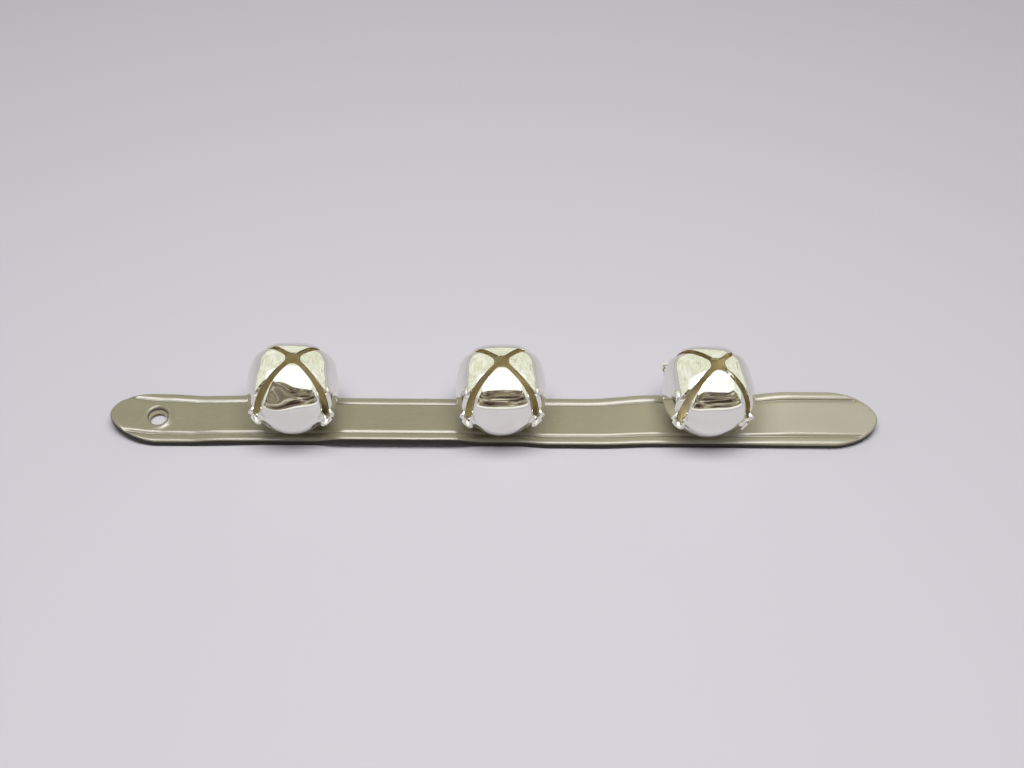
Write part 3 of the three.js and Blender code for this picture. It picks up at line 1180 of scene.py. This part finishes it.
floor_material, tree, shader = new_material(
    "Pale floor", {"Base Color": floor_color, "Roughness": 0.9})
reach = add_node(tree, "ShaderNodeVectorMath", {0: object_place(tree)}, operation="LENGTH")
far_floor = ranged(tree, reach.outputs["Value"], far_floor_from, far_floor_to)
glossy = add_node(tree, "ShaderNodeLightPath").outputs["Is Glossy Ray"]
far_glow = add_node(tree, "ShaderNodeEmission", {"Color": (*floor_tone, 1)})
floor_mix = add_node(tree, "ShaderNodeMixShader", {
    0: computed(tree, "MULTIPLY", far_floor, glossy), 1: shader.outputs[0], 2: far_glow.outputs[0]})
set_inputs(tree, tree.nodes["Material Output"], {"Surface": floor_mix.outputs[0]})
half = floor_size / 2
floor_corners = [(-half, -half, 0), (half, -half, 0), (half, half, 0), (-half, half, 0)]
stage_plane("floor", floor_corners, [(0, 1, 2, 3)], floor_material)

card_material, tree, glow = glowing("Dark card", 1)
place = object_place(tree)
streaks = mottled(tree, drawn_out(tree, place, card_streaks), scale=2.2, detail=4, distortion=0.8)
card_colors = ramp(tree, streaks, [
    (0.30, (0.004, 0.004, 0.003)),
    (0.40, (0.080, 0.060, 0.045)),
    (0.47, (0.210, 0.165, 0.140)),
    (0.54, (0.280, 0.250, 0.150)),
    (0.60, (0.420, 0.370, 0.290)),
    (0.68, (0.900, 0.880, 0.760)),
])
card_height = add_node(tree, "ShaderNodeSeparateXYZ", {0: place}).outputs["Z"]
above_sill = computed(tree, "GREATER_THAN", card_height, sill_height)
set_inputs(tree, glow, {"Color": mix_colors(tree, above_sill, sill_color, card_colors)})
card_corners = []
card_faces = []
for step in range(card_steps + 1):
    azimuth = math.radians(-90 - card_spread + 2 * card_spread * step / card_steps)
    for elevation in (card_low, card_high):
        height = card_distance * math.tan(math.radians(elevation))
        x = card_distance * math.cos(azimuth)
        card_corners.append((x, card_distance * math.sin(azimuth), height))
for step in range(card_steps):
    first = 2 * step
    card_faces.append((first, first + 2, first + 3, first + 1))
mirrored_only(stage_plane("dark_card", card_corners, card_faces, card_material))

screen_material, _, _ = glowing("White screen", screen_glow)
screen_corners = [
    (-screen_half_width, -screen_front, screen_height),
    (screen_half_width, -screen_front, screen_height),
    (screen_half_width, screen_back, screen_height),
    (-screen_half_width, screen_back, screen_height),
]
mirrored_only(stage_plane("white_screen", screen_corners, [(0, 1, 2, 3)], screen_material))

lamp = bpy.data.lights.new("Soft box", "AREA")
lamp.shape = "RECTANGLE"
lamp.size = lamp_width
lamp.size_y = lamp_depth
lamp.energy = lamp_power
lamp.color = lamp_color
add_object("Soft box", lamp).location = (0, -lamp_forward, lamp_height)

world = bpy.data.worlds.new("Pale walls")
bpy.context.scene.world = world
world.use_nodes = True
tree = world.node_tree
tree.nodes.clear()
direction = add_node(tree, "ShaderNodeTexCoord").outputs["Generated"]
parts = add_node(tree, "ShaderNodeSeparateXYZ", {0: direction})
backwards = computed(tree, "MAXIMUM", parts.outputs["Y"], 0)
lower_at_back = computed(tree, "MULTIPLY_ADD", backwards, wall_foot, parts.outputs["Z"])
walls = ramp(tree, lower_at_back, [
    (0, floor_tone),
    (wall_foot - wall_foot_softness, floor_tone),
    (wall_foot, (0.96, 0.97, 0.87)),
    (0.60, (1.00, 1.00, 0.93)),
    (1, (1.00, 1.00, 0.95)),
])
skirting = computed(tree, "COMPARE", lower_at_back, wall_foot - skirting_drop, skirting_half)
not_in_front = ranged(tree, parts.outputs["Y"], skirting_ends, skirting_full)
shaded_foot = computed(tree, "MULTIPLY", skirting, not_in_front)
room = mix_colors(tree, shaded_foot, walls, skirting_color)
patches = mottled(tree, direction, scale=3.6, detail=3, distortion=1.4)
patch_colors = ramp(tree, patches, [
    (0.44, (1, 1, 1)),
    (0.51, (0.79, 0.86, 0.62)),
    (0.57, (1.00, 1.00, 0.95)),
    (0.60, (0.45, 0.42, 0.32)),
    (0.62, (1.00, 1.00, 0.93)),
    (0.70, (0.83, 0.88, 0.71)),
])
above_foot = computed(tree, "GREATER_THAN", lower_at_back, wall_foot)
room = mix_colors(tree, above_foot, room, patch_colors, blend="MULTIPLY")
lights = []
for color, strength in ((room, 1), (seen_light, 1), (fill_light, fill_strength)):
    light = add_node(tree, "ShaderNodeBackground", {"Color": color, "Strength": strength})
    lights.append(light.outputs[0])
mirrored, seen, fill = lights
rays = add_node(tree, "ShaderNodeLightPath").outputs
reflecting = computed(tree, "MAXIMUM", rays["Is Glossy Ray"], rays["Is Transmission Ray"])
lit = add_node(tree, "ShaderNodeMixShader", {0: reflecting, 1: fill, 2: mirrored})
shown = add_node(tree, "ShaderNodeMixShader", {0: rays["Is Camera Ray"], 1: lit.outputs[0], 2: seen})
add_node(tree, "ShaderNodeOutputWorld", {"Surface": shown.outputs[0]})
bpy.context.scene.view_settings.view_transform = "Standard"


# Camera. A normal lens, looking down on the strap at the angle of the photograph.
lens = 50
camera_distance = 0.619
camera_elevation = math.radians(48.6)
camera_yaw = math.radians(-2.2)
camera_roll = math.radians(-2.1)
looked_at = Vector((0.0069, 0.0224, 0))

camera_data = bpy.data.cameras.new("Camera")
camera_data.lens = lens
camera = add_object("Camera", camera_data)
bpy.context.scene.camera = camera
back = Vector((
    math.sin(camera_yaw) * math.cos(camera_elevation),
    -math.cos(camera_yaw) * math.cos(camera_elevation),
    math.sin(camera_elevation),
))
level = Vector((math.cos(camera_yaw), math.sin(camera_yaw), 0))
upright = back.cross(level)
rightwards = level * math.cos(camera_roll) - upright * math.sin(camera_roll)
skywards = level * math.sin(camera_roll) + upright * math.cos(camera_roll)
turned = Matrix((rightwards, skywards, back)).transposed().to_4x4()
camera.matrix_world = Matrix.Translation(looked_at + back * camera_distance) @ turned
